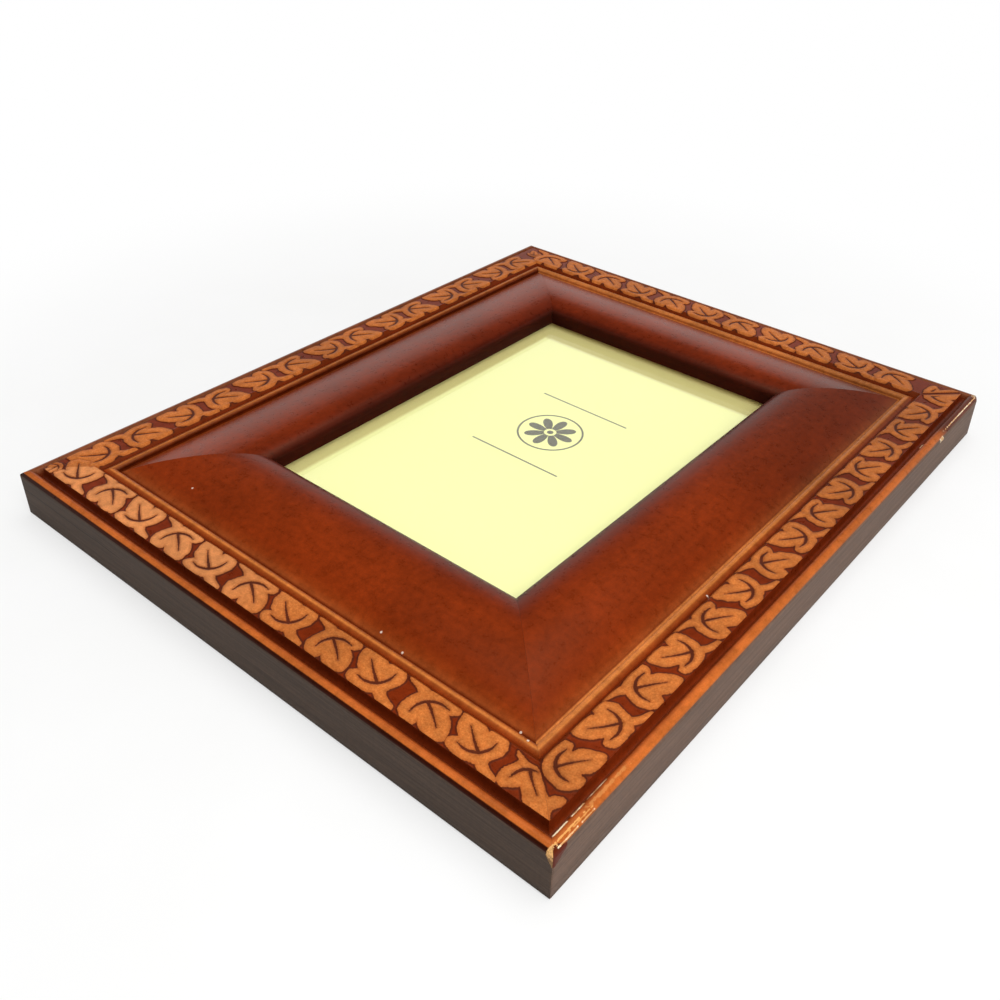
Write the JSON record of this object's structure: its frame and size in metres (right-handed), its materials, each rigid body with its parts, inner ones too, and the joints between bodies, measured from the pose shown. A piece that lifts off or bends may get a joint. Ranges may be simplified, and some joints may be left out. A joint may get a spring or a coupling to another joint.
{
  "type": "picture frame",
  "caption": "Rectangular wooden picture frame with a wide convex moulding, a carved leaf border, glass, and a back with turn buttons, ring hangers and a folding diagonal easel leg.",
  "frame": {"origin": "on the surface that the frame lies on, under the middle of the frame", "axes": "+X to the right across the picture (short side), +Y up the picture (long side), +Z out of the picture's front"},
  "size_m": [0.1746, 0.2126, 0.0173],
  "materials": {
    "mahogany": "stained and varnished, satin",
    "glass": "clear picture glass",
    "slip_paper": "pale yellow printed paper",
    "grey_card": "plain grey card",
    "hardboard": "bare hardboard",
    "flock": "black flocked paper",
    "leg_board": "fibreboard covered in black flocked paper",
    "bright_steel": "zinc plated",
    "brassed_steel": "brass plated steel"
  },
  "bodies": {
    "frame": {"rail_bottom": "mahogany", "rail_right": "mahogany", "rail_top": "mahogany", "rail_left": "mahogany", "v_nail_bottom_left_outer": "bright_steel", "v_nail_bottom_left_inner": "bright_steel", "v_nail_bottom_right_outer": "bright_steel", "v_nail_bottom_right_inner": "bright_steel", "v_nail_top_right_outer": "bright_steel", "v_nail_top_right_inner": "bright_steel", "v_nail_top_left_outer": "bright_steel", "v_nail_top_left_inner": "bright_steel", "glass_pane": "glass", "photo_slip": "slip_paper", "filler_card": "grey_card", "backing_board": "hardboard", "board_lining": "flock", "hinge_leaf_board": "brassed_steel", "hinge_pin": "bright_steel", "rivet_hinge_board_left": "brassed_steel", "rivet_hinge_board_right": "brassed_steel", "button_screw_right_top": "bright_steel", "button_screw_right_bottom": "bright_steel", "button_screw_left_top": "bright_steel", "button_screw_left_bottom": "bright_steel", "hanger_strap_upright": "brassed_steel", "rivet_hanger_upright": "brassed_steel", "hanger_strap_sideways": "brassed_steel", "rivet_hanger_sideways": "brassed_steel"},
    "leg": {"easel_leg": "leg_board", "hinge_leaf_leg": "brassed_steel", "rivet_hinge_leg_left": "brassed_steel", "rivet_hinge_leg_right": "brassed_steel"},
    "button_right_top": {"turn_button_right_top": "bright_steel"},
    "button_right_bottom": {"turn_button_right_bottom": "bright_steel"},
    "button_left_top": {"turn_button_left_top": "bright_steel"},
    "button_left_bottom": {"turn_button_left_bottom": "bright_steel"},
    "ring_upright": {"hanger_ring_upright": "brassed_steel"},
    "ring_sideways": {"hanger_ring_sideways": "brassed_steel"}
  },
  "joints": [
    {"name": "leg_fold", "type": "hinge", "parent": "frame", "child": "leg", "pos_m": [-0.00528, -0.01377, 0.0026], "axis": [0.7071, 0.7071, 0], "range_deg": [0, 35]},
    {"name": "turn_right_top", "type": "hinge", "parent": "frame", "child": "button_right_top", "pos_m": [0.05175, 0.03, 0.0037], "axis": [0, 0, 1], "range_deg": [-105, 105]},
    {"name": "turn_right_bottom", "type": "hinge", "parent": "frame", "child": "button_right_bottom", "pos_m": [0.05175, -0.03, 0.0037], "axis": [0, 0, 1], "range_deg": [-105, 105]},
    {"name": "turn_left_top", "type": "hinge", "parent": "frame", "child": "button_left_top", "pos_m": [-0.05175, 0.03, 0.0037], "axis": [0, 0, 1], "range_deg": [-105, 105]},
    {"name": "turn_left_bottom", "type": "hinge", "parent": "frame", "child": "button_left_bottom", "pos_m": [-0.05175, -0.03, 0.0037], "axis": [0, 0, 1], "range_deg": [-105, 105]},
    {"name": "ring_upright_swing", "type": "hinge", "parent": "frame", "child": "ring_upright", "pos_m": [0, 0.0508, 0.00275], "axis": [-1, 0, 0], "range_deg": [-10, 139]},
    {"name": "ring_sideways_swing", "type": "hinge", "parent": "frame", "child": "ring_sideways", "pos_m": [-0.03225, 0, 0.00275], "axis": [0, -1, 0], "range_deg": [-10, 139]}
  ]
}
